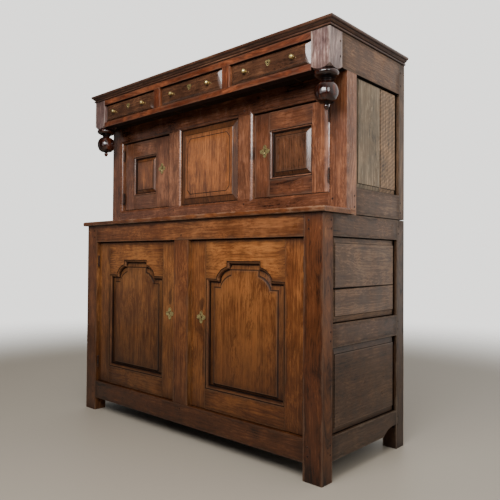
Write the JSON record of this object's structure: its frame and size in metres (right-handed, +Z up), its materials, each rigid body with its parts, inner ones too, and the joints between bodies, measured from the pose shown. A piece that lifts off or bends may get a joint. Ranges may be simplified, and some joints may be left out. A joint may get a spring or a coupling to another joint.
{
  "type": "court cupboard",
  "caption": "Two-stage oak court cupboard: arched panelled doors below, recessed small cupboards and turned pendants above, drawers in an overhanging frieze.",
  "frame": {"origin": "on the floor under the middle of the whole cupboard", "axes": "+X to the right seen from the front, +Y to the back, +Z up"},
  "size_m": [1.488, 0.593, 1.588],
  "materials": {
    "frame_oak": "waxed, worn smooth at the edges",
    "frieze_oak": "waxed and warm red-brown",
    "panel_oak": "waxed, straight and figured grain",
    "side_oak": "dry, dusty brown",
    "drawer_oak": "waxed, darkened",
    "turned_oak": "turned and polished, nearly black",
    "inner_oak": "unfinished, aged",
    "board_oak": "rough sawn, dusty",
    "peg_oak": "end grain, dark",
    "brass": "old polish",
    "iron": "blackened wrought iron"
  },
  "bodies": {
    "case": {"back_rails": "inner_oak", "board_bearers": "inner_oak", "centre_panel": "panel_oak", "cornice": "frame_oak", "drawer_guides": "inner_oak", "dust_boards": "inner_oak", "frame_pegs": "peg_oak", "frieze_frame": "frieze_oak", "frieze_posts": "frame_oak", "frieze_side_rails": "frame_oak", "hinge_frame_leaves": "iron", "lower_back_boards": "board_oak", "lower_back_legs": "frame_oak", "lower_floor_boards": "inner_oak", "lower_front_legs": "frame_oak", "lower_front_rails": "frame_oak", "lower_muntin": "frame_oak", "lower_shelf": "inner_oak", "lower_side_panels": "side_oak", "lower_side_rails": "frame_oak", "lower_top_boards": "inner_oak", "pendants": "turned_oak", "top_boards": "board_oak", "upper_back_boards": "board_oak", "upper_back_stiles": "frame_oak", "upper_floor_boards": "inner_oak", "upper_front_rails": "frame_oak", "upper_front_stiles": "frame_oak", "upper_muntins": "frame_oak", "upper_side_panels": "side_oak", "upper_side_rails": "frame_oak", "waist_ledge": "frame_oak"},
    "lower_left_door": {"lower_left_door_escutcheon": "brass", "lower_left_door_frame": "frame_oak", "lower_left_door_ironwork": "iron", "lower_left_door_panel": "panel_oak"},
    "lower_right_door": {"lower_right_door_escutcheon": "brass", "lower_right_door_frame": "frame_oak", "lower_right_door_ironwork": "iron", "lower_right_door_panel": "panel_oak"},
    "upper_left_door": {"upper_left_door_escutcheon": "brass", "upper_left_door_frame": "frame_oak", "upper_left_door_ironwork": "iron", "upper_left_door_panel": "panel_oak"},
    "upper_right_door": {"upper_right_door_escutcheon": "brass", "upper_right_door_frame": "frame_oak", "upper_right_door_ironwork": "iron", "upper_right_door_panel": "panel_oak"},
    "left_drawer": {"left_drawer_box": "inner_oak", "left_drawer_brasses": "brass", "left_drawer_front": "drawer_oak"},
    "middle_drawer": {"middle_drawer_box": "inner_oak", "middle_drawer_brasses": "brass", "middle_drawer_front": "drawer_oak"},
    "right_drawer": {"right_drawer_box": "inner_oak", "right_drawer_brasses": "brass", "right_drawer_front": "drawer_oak"}
  },
  "joints": [
    {"name": "lower_left_door_hinge", "type": "hinge", "parent": "case", "child": "lower_left_door", "pos_m": [-0.64, -0.2675, 0.49], "axis": [0, 0, -1], "range_deg": [0, 100]},
    {"name": "lower_right_door_hinge", "type": "hinge", "parent": "case", "child": "lower_right_door", "pos_m": [0.64, -0.2675, 0.49], "axis": [0, 0, 1], "range_deg": [0, 100]},
    {"name": "upper_left_door_hinge", "type": "hinge", "parent": "case", "child": "upper_left_door", "pos_m": [-0.64, -0.1235, 1.1765], "axis": [0, 0, -1], "range_deg": [0, 90]},
    {"name": "upper_right_door_hinge", "type": "hinge", "parent": "case", "child": "upper_right_door", "pos_m": [0.64, -0.1235, 1.1765], "axis": [0, 0, 1], "range_deg": [0, 90]},
    {"name": "left_drawer_slide", "type": "slide", "parent": "case", "child": "left_drawer", "axis": [0, -1, 0], "range_m": [0, 0.3]},
    {"name": "middle_drawer_slide", "type": "slide", "parent": "case", "child": "middle_drawer", "axis": [0, -1, 0], "range_m": [0, 0.3]},
    {"name": "right_drawer_slide", "type": "slide", "parent": "case", "child": "right_drawer", "axis": [0, -1, 0], "range_m": [0, 0.3]}
  ]
}
